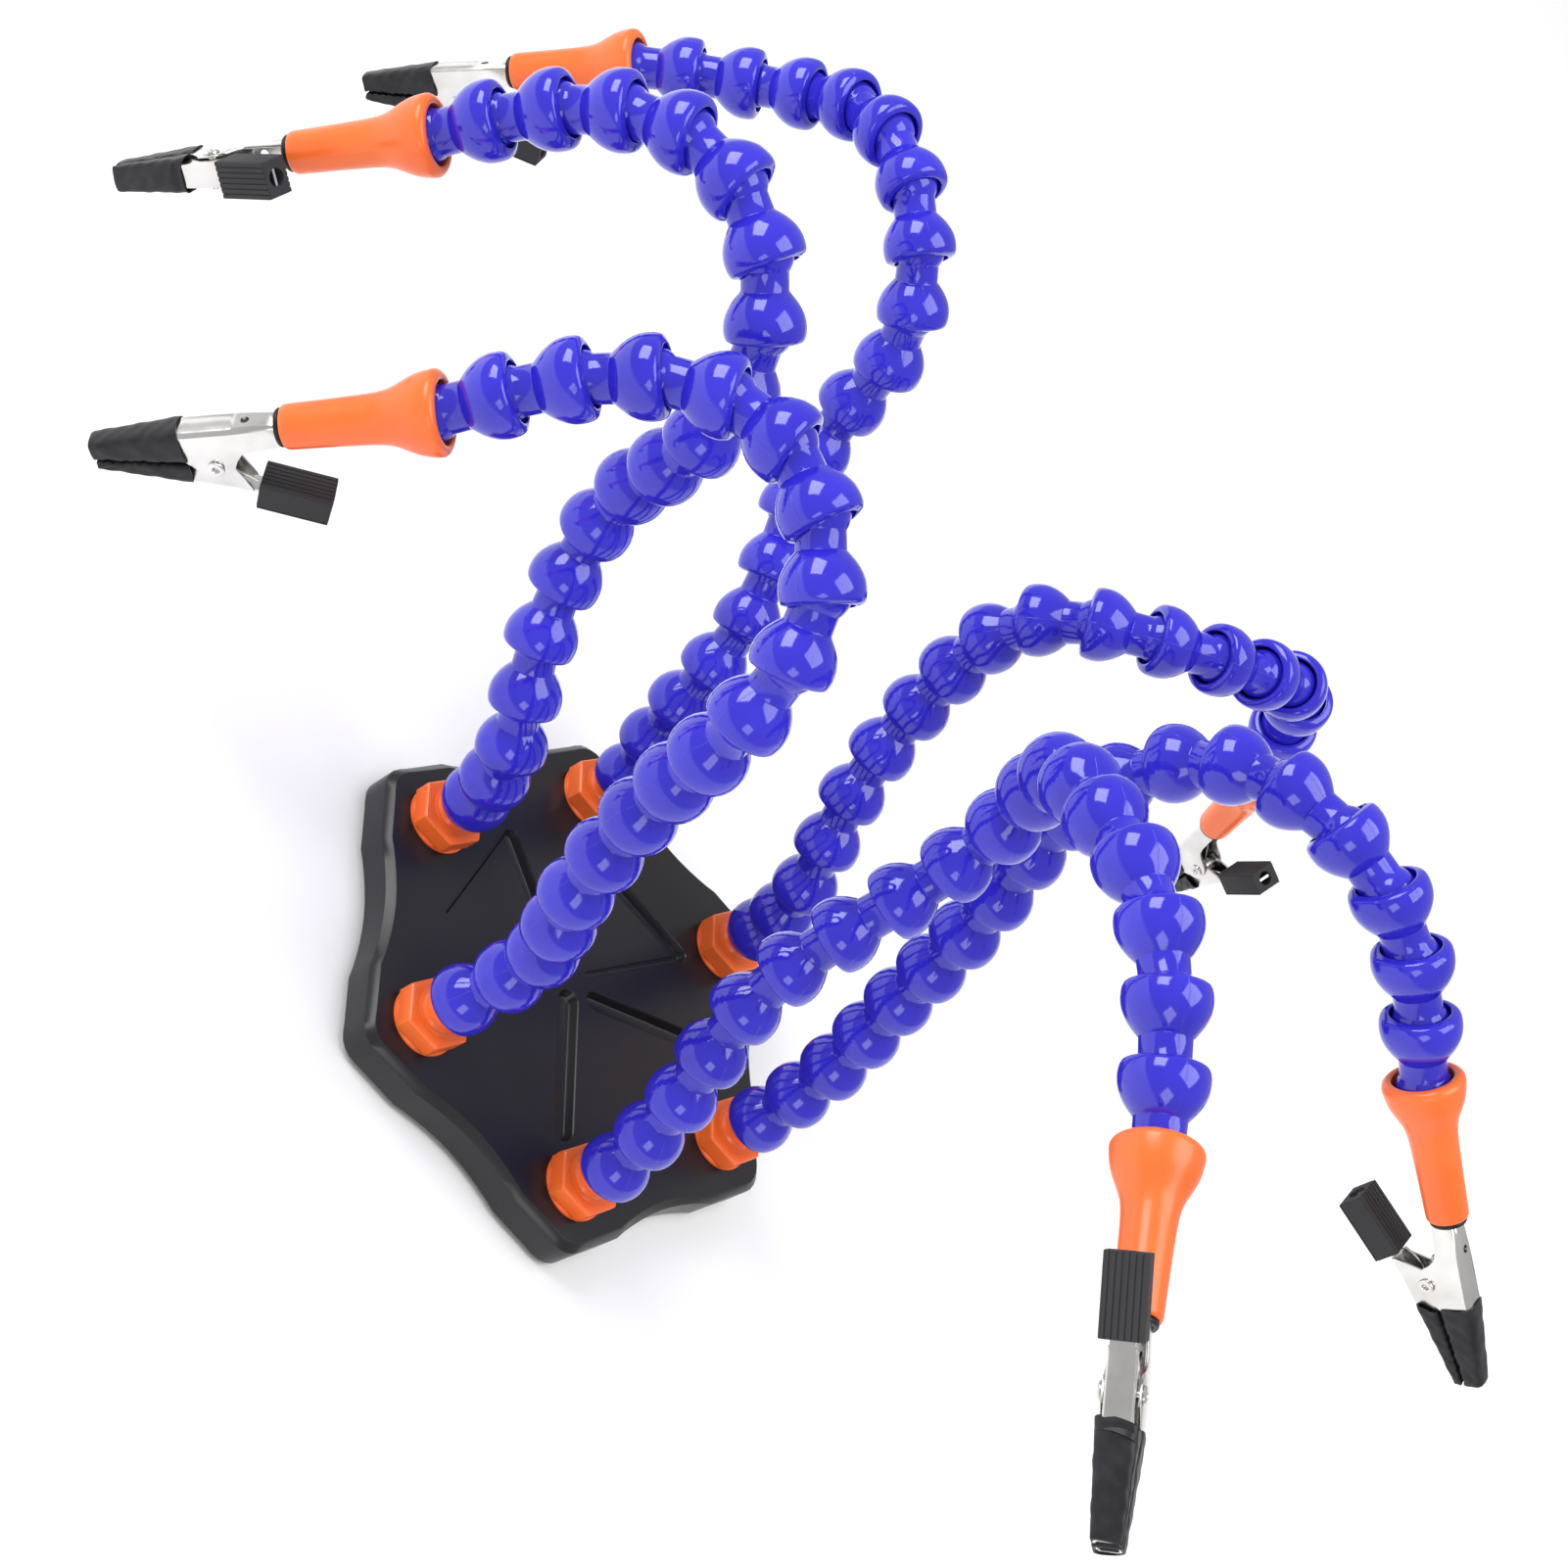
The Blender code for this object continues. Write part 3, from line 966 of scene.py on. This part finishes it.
@dataclass
class Clip:
    """A spring clip: two folded jaws, sleeves, rivet, spring and grip."""

    pivot: Pair = (46.3, -6.2)
    strip: float = 0.5
    fixed: tuple[Station, ...] = (
        Station(30.9, 2.3, -2.9, 2.7, 1.9, 0.8), Station(34.0, 2.5, -3.0, 2.9, 2.0, 0.9),
        Station(38.0, 2.7, -3.1, 3.2, 2.2, 1.0), Station(40.0, 2.75, -3.5, 3.35, 2.3, 1.0),
        Station(41.4, 2.8, -5.0, 3.42, 2.3, 1.0), Station(42.4, 2.8, -6.7, 3.45, 2.3, 1.0),
        Station(44.0, 2.85, -7.9, 3.48, 2.3, 1.0), Station(46.3, 2.9, -8.4, 3.5, 2.3, 1.0),
        Station(49.0, 2.9, -7.7, 3.5, 2.3, 1.0), Station(50.9, 2.95, -5.5, 3.5, 2.3, 1.0),
        Station(52.3, 3.0, -4.0, 3.45, 2.3, 1.0), Station(56.0, 2.6, -3.5, 3.2, 2.1, 1.0),
        Station(71.3, 1.4, -1.5, 2.3, 1.5, 0.7),
    )
    moving: tuple[Station, ...] = (
        Station(40.9, -13.75, -12.7, 2.5, 2.0, 0.3), Station(41.5, -13.55, -11.0, 2.6, 2.1, 0.4),
        Station(42.1, -13.35, -9.4, 2.6, 2.1, 0.4), Station(42.9, -13.0, -7.4, 2.6, 2.1, 0.4),
        Station(43.8, -12.5, -4.9, 2.6, 2.1, 0.4), Station(46.3, -11.7, -4.0, 2.6, 2.1, 0.4),
        Station(50.0, -10.5, -4.2, 2.6, 2.1, 0.4), Station(53.0, -9.4, -5.1, 2.7, 2.1, 0.4),
        Station(57.0, -8.2, -4.8, 2.7, 2.0, 0.5), Station(71.3, -4.1, -3.0, 2.3, 1.5, 0.5),
    )
    upper_sleeve: Quads = (
        (51.9, -4.55, 3.45, 3.95), (54.0, -4.35, 3.3, 3.85), (57.0, -4.0, 3.05, 3.65),
        (60.0, -3.6, 2.85, 3.5), (63.0, -3.25, 2.6, 3.3), (66.0, -2.85, 2.4, 3.15),
        (69.0, -2.45, 2.15, 3.0), (71.2, -2.2, 2.0, 2.8),
    )
    lower_sleeve: Quads = (
        (52.3, -9.9, -4.8, 3.9), (54.0, -9.4, -4.6, 3.8), (57.0, -8.55, -4.22, 3.6),
        (60.0, -7.7, -3.84, 3.45), (63.0, -6.85, -3.46, 3.25), (66.0, -6.0, -3.08, 3.1),
        (69.0, -5.15, -2.7, 2.95), (71.0, -4.6, -2.45, 2.75),
    )
    handle: tuple[float, float, float, float] = (41.6, -13.2, 27.0, -19.9)
    grip_at: Pair = (33.2, -17.0)
    grip_run: Pair = (-14.4, -6.8)
    grip_size: Triple = (14.8, 8.0, 6.5)
    sleeve_rings: int = 66
    tooth_from: float = 54.5
    tooth_pitch: float = 1.9
    tooth_height: float = 0.30
    rivet_half: Profile = (
        (3.0, 1.0), (3.56, 1.0), (3.58, 1.75), (3.75, 1.8), (3.98, 1.72), (4.15, 1.4), (4.2, 1.1),
        (4.14, 0.82), (3.9, 0.66), (3.3, 0.6),
    )
    spring_width: float = 2.6
    wire: float = 0.32
    ribs: int = 7
    rib_height: float = 0.26

    @staticmethod
    def side(axes: Axes, u: float, w: float, v: float = 0.0) -> np.ndarray:
        """A point from the clip's side view: u along, w away from the handle, v across."""
        return axes.point(w, v, u)

    def folded(self, axes: Axes, stations: Sequence[Station], sign: float) -> Mesh:
        """The open folded strip of a jaw.

        Args:
            axes: the clip's axes.
            stations: its cross-sections.
            sign: 1 where the web is on the +w side, -1 on the other.

        Returns:
            The sheet's points and faces.
        """
        rows = []
        for s in stations:
            shoulder = s.web - sign * s.drop
            round_v, round_w = (s.half + s.flat) / 2 + 0.12, (shoulder + s.web) / 2 + 0.08 * sign
            half = ((s.half, s.edge), (s.half, shoulder), (round_v, round_w), (s.flat, s.web))
            across = [(-v, w) for v, w in half] + list(reversed(half))
            rows.append([self.side(axes, s.u, w, v) for v, w in across])
        width = len(rows[0])
        points = [p for row in rows for p in row]
        faces = [
            (j * width + i, j * width + i + 1, (j + 1) * width + i + 1, (j + 1) * width + i)
            for j in range(len(rows) - 1)
            for i in range(width - 1)
        ]
        return points, faces

    def sheet(self, name: str, data: Mesh, inside: np.ndarray) -> Object:
        """Give a folded sheet its thickness, inwards.

        Args:
            name: the object's name.
            data: the sheet.
            inside: a point within the fold, which the thickness grows towards.

        Returns:
            The object with its modifiers still to be settled.
        """
        made = raw(name, data)
        faces = made.data.polygons
        middle = faces[len(faces) // 2]
        if middle.normal.dot(middle.center - Vector(inside * MM)) < 0:
            made.data.flip_normals()
        wall = made.modifiers.new("wall", "SOLIDIFY")
        wall.thickness, wall.offset, wall.use_even_offset = self.strip * MM, -1.0, True
        soften(made, 0.10, 2, 40.0)
        return made

    @staticmethod
    def add(made: Object, more: Mesh) -> None:
        """Add a second closed shell to an object."""
        shape = bmesh.new()
        shape.from_mesh(made.data)
        points = [shape.verts.new(tuple(p * MM)) for p in more[0]]
        for face in more[1]:
            shape.faces.new([points[i] for i in face])
        shape.to_mesh(made.data)
        shape.free()

    def sleeve(self, axes: Axes, stations: Quads, face: float, seed: float) -> Mesh:
        """A shrunk tube over a jaw, open at the back and gathered at the tip.

        Args:
            axes: the clip's axes.
            stations: u, lower w, upper w and half width.
            face: 1 where the bite is on the +w side, -1 on the other.
            seed: shifts the creases so no two sleeves match.

        Returns:
            The points and faces.
        """
        sides, wall = 36, 0.4
        table = np.array(stations)
        run = np.linspace(table[0, 0], table[-1, 0], self.sleeve_rings)
        stations = [tuple(float(np.interp(u, table[:, 0], table[:, k])) for k in range(4)) for u in run]

        def ring(
            u: float, low: float, high: float, half: float, shrink: float, cut: float
        ) -> list[np.ndarray]:
            """One cross-section, drawn in by shrink and slanted by cut."""
            middle, tall = (low + high) / 2, (high - low) / 2 - shrink
            points = []
            for i in range(sides):
                t = 2 * math.pi * i / sides
                c, s = math.cos(t), math.sin(t)
                power = 4.9 + 1.7 * face * s
                round_off = (abs(c) ** power + abs(s) ** power) ** (-1 / power)
                crease = 0.06 * math.sin(3 * t + 0.9 * u + seed)
                crease += 0.05 * math.sin(5 * t - 1.7 * u + 2 * seed)
                wide = (half - shrink + crease) * round_off
                high_w = (tall + crease * 0.6) * round_off
                slant = cut * (0.5 * math.sin(t + seed) + 0.3 * math.sin(2 * t + 2 * seed))
                bite = max(face * s, 0.0) ** 3 * min(max((u - self.tooth_from) / 2.5, 0.0), 1.0)
                tooth = bite * self.tooth_height * math.cos(2 * math.pi * u / self.tooth_pitch)
                points.append(self.side(axes, u + slant, middle + high_w * s + tooth, wide * c))
            return points

        u0, l0, h0, v0 = stations[0]
        rings = [ring(u0 + 2.5, l0, h0, v0, wall, 1.0), ring(u0 + 0.1, l0, h0, v0, wall, 1.0)]
        rings += [ring(*s, 0.0, 1.0 if i == 0 else 0.0) for i, s in enumerate(stations)]
        u1, l1, h1, v1 = stations[-1]
        rings += [
            ring(u1 + 0.25, l1, h1, v1, 0.2, 0.3), ring(u1 + 0.3, l1, h1, v1, 0.6, 0.3),
            ring(u1 - 1.6, l1, h1, v1, 0.75, 0.3),
        ]
        return loft(rings)

    def build(self, arm: str, axes: Axes, rows: Tree, coils: Tree, seed: float) -> None:
        """Make all the clip's pieces.

        Args:
            arm: the arm's name.
            axes: origin at the last ball, z along the nozzle, x away from the handle.
            rows: the tree that repeats the ribs.
            coils: the tree that winds the spring.
            seed: shifts the sleeves' creases.
        """
        body, jaw = f"{arm}_clip", f"{arm}_jaw"
        strip = self.folded(axes, self.fixed, 1.0)
        fixed = self.sheet(f"{arm}_fixed_jaw_strip", strip, self.side(axes, 50, -1))
        settle(fixed, Finish.STEEL)
        hole = Axes(self.side(axes, 38.2, 0.0), axes.z, axes.x)
        carve(fixed, turned(hole, ((0.5, 0.95), (6.0, 0.95)), 24))
        dress(fixed.data, Finish.STEEL, 32.0)
        place(fixed, body, "clip_steel", f"{arm}_fixed_jaw")

        strip = self.folded(axes, self.moving, -1.0)
        moving = self.sheet(f"{arm}_moving_jaw_strip", strip, self.side(axes, 50, -7))
        settle(moving, Finish.STEEL)
        u0, w0, u1, w1 = self.handle
        run = unit(vec(u1 - u0, w1 - w0))
        half_thick, half_wide = 0.3, 2.2
        bar = []
        for u, w in ((u0, w0), (u1, w1)):
            ring = []
            for k, m in ((-1, -1), (-1, 1), (1, 1), (1, -1)):
                off = run * k * half_thick
                ring.append(self.side(axes, u - off[1], w + off[0], m * half_wide))
            bar.append(ring)
        self.add(moving, loft(bar))
        dress(moving.data, Finish.STEEL, 32.0)
        place(moving, jaw, "clip_steel", f"{arm}_moving_jaw")

        for label, stations, face, more, rides in (
            ("upper", self.upper_sleeve, -1.0, 0.0, body),
            ("lower", self.lower_sleeve, 1.0, 2.2, jaw),
        ):
            tube = self.sleeve(axes, stations, face, seed + more)
            place(piece(f"{arm}_{label}_sleeve", tube, Finish.SLEEVE, 50.0), rides, "grip_rubber")
        self.rivet(arm, axes)
        self.spring(arm, axes, coils)
        self.grip(arm, axes, rows)

    def rivet(self, arm: str, axes: Axes) -> None:
        """The hollow rivet the jaws turn on."""
        profile = [(-z, r) for z, r in reversed(self.rivet_half)] + list(self.rivet_half)
        pin = Axes(self.side(axes, *self.pivot), axes.x, axes.y)
        made = piece(f"{arm}_hollow_rivet", turned(pin, profile, 32), Finish.STEEL, 35.0)
        place(made, f"{arm}_clip", "clip_steel", f"{arm}_pivot_pin")

    def spring(self, arm: str, axes: Axes, coils: Tree) -> None:
        """The wound spring round the rivet and its two legs."""
        centre = self.side(axes, *self.pivot)
        pin = Axes(centre, axes.x, axes.y)
        made = piece(f"{arm}_spring_coil", ([vec(0, 0, 0)], []), Finish.STEEL)
        width = self.spring_width * MM
        values = {"Turns": 3.6, "Coil radius": 1.75 * MM, "Wire radius": self.wire * MM, "Width": width}
        coils.run(made, Finish.STEEL, values)
        made.data.transform(Matrix.Translation((0, 0, -width / 2)))
        made.data.transform(pin.matrix())
        place(made, f"{arm}_clip", "clip_steel")
        ways = (
            ("upper", "clip", ((46.3, -4.45), (42.0, -2.6), (36.0, 1.4)), 1.3),
            ("lower", "jaw", ((45.9, -7.95), (43.0, -9.2), (39.8, -11.9)), -1.3),
        )
        turn = np.linspace(0, 2 * math.pi, 10, False)
        for label, body, way, v in ways:
            line = smooth_line([self.side(axes, u, w, v) for u, w in way], 8)
            along = [unit(b - a) for a, b in zip(line, line[1:])]
            along.append(along[-1])
            rings = []
            for p, d in zip(line, along):
                other = unit(np.cross(d, axes.y))
                rings.append([p + (axes.y * math.cos(t) + other * math.sin(t)) * self.wire for t in turn])
            leg = piece(f"{arm}_spring_leg_{label}", loft(rings), Finish.STEEL, 50.0)
            place(leg, f"{arm}_{body}", "clip_steel")

    def grip(self, arm: str, axes: Axes, rows: Tree) -> None:
        """The square rubber grip, its bore and its long ribs."""
        run_u, run_w = self.grip_run
        along = unit(axes.z * run_u + axes.x * run_w)
        up = unit(axes.x - (axes.x @ along) * along)
        long, wide, tall = self.grip_size
        tall -= 2 * self.rib_height
        centre = self.side(axes, *self.grip_at)
        block = Axes(centre, up, along)
        corner = 0.35
        ring = []
        for sx, sy in ((1, 1), (-1, 1), (-1, -1), (1, -1)):
            a, b = (sx * (tall / 2 - corner), sy * wide / 2), (sx * tall / 2, sy * (wide / 2 - corner))
            ring += [b, a] if sx * sy > 0 else [a, b]
        rings = []
        for z, inset in ((-long / 2, 0.3), (-long / 2 + 0.3, 0.0), (long / 2 - 0.3, 0.0), (long / 2, 0.3)):
            rings.append([block.point(x * (1 - inset / tall), y * (1 - inset / wide), z) for x, y in ring])
        made = piece(f"{arm}_square_grip", loft(rings), Finish.GRIP)
        carve(made, turned(block, ((long / 2 - 9.0, 1.95), (long / 2 + 1.0, 1.95)), 28))
        dress(made.data, Finish.GRIP, 32.0)
        place(made, f"{arm}_jaw", "grip_rubber", f"{arm}_grip")
        spread, high = wide - 1.1, self.rib_height
        end_steps = ((-1, 0.05, 0.3), (-1, 0.2, 1.0), (1, 0.2, 1.0), (1, 0.05, 0.3))
        for label, sx in (("inner", 1), ("outer", -1)):
            side = [(-0.1, 0.48), (high * 0.75, 0.44), (high, 0.3)]
            section = [(h, -y) for h, y in side] + side[::-1]
            ends = [(k * (long / 2 - inset), share) for k, inset, share in end_steps]
            rings = []
            for z, share in ends:
                rise = [up * sx * (h if h < 0 else h * share) for h, _ in section]
                rings.append([r + block.y * y + along * z for r, (_, y) in zip(rise, section)])
            template = piece("rib_template", loft(rings), Finish.GRIP)
            first = block.point(sx * tall / 2, -spread / 2, 0)
            ribs = piece(f"{arm}_{label}_grip_ribs", ([first], []), Finish.GRIP)
            values = {
                "Template": template,
                "Count": self.ribs,
                "First": tuple(first * MM),
                "Step": tuple(block.y * (spread / (self.ribs - 1)) * MM),
            }
            place(rows.run(ribs, Finish.GRIP, values), f"{arm}_jaw", "grip_rubber")
            bpy.data.objects.remove(template)


@dataclass
class Arm:
    """One arm from its fitting to its clip."""

    name: str
    route: Route
    seed: float
    pitch: float = 15.2
    links: int = 18
    in_section: int = 6
    circle: float = 55.8
    ball_height: float = 27.0
    fitting: Fitting = field(default_factory=Fitting)
    nozzle: Nozzle = field(default_factory=Nozzle)
    clip: Clip = field(default_factory=Clip)

    def build(self, template: Object, chains: Tree, rows: Tree, coils: Tree) -> None:
        """Make the arm's pieces.

        Args:
            template: the link that is repeated.
            chains: the tree that repeats it.
            rows: the tree for the ribs.
            coils: the tree for the spring.
        """
        t = math.radians(self.route.angle)
        foot = vec(self.circle * math.cos(t), self.circle * math.sin(t), 0)
        start = foot + vec(0, 0, self.ball_height)
        line = smooth_line([start, *(vec(*p) for p in self.route.points)])
        centres = lay_chain(line, self.pitch, self.links)
        ways = [unit(b - a) for a, b in zip(centres, centres[1:])]
        side = unit(np.cross(ways[0], vec(math.sin(t), -math.cos(t), 0)))
        frames = [Axes(centres[0], side, ways[0])]
        for k in range(1, self.links):
            side = carry(side, ways[k - 1], ways[k])
            frames.append(Axes(centres[k], side, ways[k]))
        self.fitting.build(self.name, foot)
        for i, word in enumerate(("lower", "middle", "upper")):
            self.section(word, frames[i * self.in_section : (i + 1) * self.in_section], template, chains)
        end = unit(vec(*self.route.points[-1]) - centres[-1])
        away = -vec(*self.route.handle)
        axes = Axes(centres[-1], unit(away - (away @ end) * end), end)
        self.nozzle.build(self.name, axes)
        self.clip.build(self.name, axes, rows, coils, self.seed)

    def section(self, word: str, frames: Sequence[Axes], template: Object, chains: Tree) -> None:
        """Make one section's links on their centres.

        Args:
            word: lower, middle or upper.
            frames: each link's axes.
            template: the link.
            chains: the tree that repeats it.
        """
        made = piece(f"{self.name}_{word}_links", ([f.at for f in frames], []), Finish.BLUE)
        turn = made.data.attributes.new("turn", "FLOAT_VECTOR", "POINT")
        angles = [a for f in frames for a in f.matrix().to_euler("XYZ")]
        turn.data.foreach_set("vector", angles)
        chains.run(made, Finish.BLUE, {"Template": template}, 40.0)
        place(made, f"{self.name}_{word}", "segment_blue", f"{self.name}_{word}_segments")


# ---- studio


@dataclass
class Studio:
    """A pale floor, soft boxes and the camera."""

    eye: Triple = (-0.3690, -0.3036, 0.4575)
    right: Triple = (0.7129, -0.0073, 0.7012)
    down: Triple = (0.3694, -0.8461, -0.3843)
    lens: float = 58.42
    sensor: float = 36.0
    floor_half: float = 4.0

    def camera(self) -> None:
        """Set the camera."""
        data = bpy.data.cameras.new("camera")
        data.lens, data.sensor_width, data.clip_start, data.clip_end = self.lens, self.sensor, 0.01, 20.0
        made = bpy.data.objects.new("camera", data)
        x, y = Vector(self.right).normalized(), -Vector(self.down).normalized()
        z = x.cross(y).normalized()
        y = z.cross(x)
        made.matrix_world = Matrix.Translation(self.eye) @ Matrix((x, y, z)).transposed().to_4x4()
        bpy.context.scene.collection.objects.link(made)
        bpy.context.scene.camera = made

    def floor(self) -> None:
        """Lay the floor."""
        h = self.floor_half / MM
        low = -0.4
        corners = [vec(-h, -h, low), vec(h, -h, low), vec(h, h, low), vec(-h, h, low)]
        made = raw("floor", (corners, [(0, 1, 2, 3)]))
        white = Paint("floor_white").finish(Base_Color=(0.97, 0.97, 0.97, 1.0), Roughness=0.9)
        made.data.materials.append(white)

    def lamp(self, name: str, at: tuple, power: float, wide: float, tall: float) -> None:
        """Hang one soft box that faces the arms.

        Args:
            name: the lamp's name.
            at: its place in metres.
            power: watts.
            wide: its width in metres.
            tall: its height in metres.
        """
        data = bpy.data.lights.new(name, "AREA")
        data.shape, data.size, data.size_y, data.energy = "RECTANGLE", wide, tall, power
        made = bpy.data.objects.new(name, data)
        made.location = at
        made.rotation_mode = "QUATERNION"
        made.rotation_quaternion = (Vector(at) - Vector((-0.02, 0.0, 0.12))).to_track_quat("Z", "Y")
        bpy.context.scene.collection.objects.link(made)

    def build(self) -> None:
        """Set the whole stage."""
        self.camera()
        self.floor()
        world = bpy.data.worlds.new("studio")
        world.use_nodes = True
        world.node_tree.nodes["Background"].inputs[0].default_value = (1.0, 1.0, 1.0, 1.0)
        world.node_tree.nodes["Background"].inputs[1].default_value = 0.50
        bpy.context.scene.world = world
        bpy.context.scene.view_settings.view_transform = "Standard"
        self.lamp("box_left", (-1.75, 1.0, 1.35), 34.0, 1.5, 1.1)
        self.lamp("box_over", (0.45, -0.3, 2.50), 38.0, 1.8, 1.8)
        self.lamp("box_front", (-0.9, -2.2, 1.0), 9.0, 1.0, 1.0)


def main() -> None:
    """Build the object piece by piece and set the stage."""
    logging.basicConfig(level=logging.INFO, format="%(message)s")
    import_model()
    Studio().build()
    Base().build()
    template = Segment().template()
    chains, rows, coils = chain_tree(), row_tree(), coil_tree()
    for i, (name, route) in enumerate(ROUTES.items()):
        Arm(name, route, 1.3 * i).build(template, chains, rows, coils)
    bpy.data.objects.remove(template)


if __name__ == "__main__":
    main()
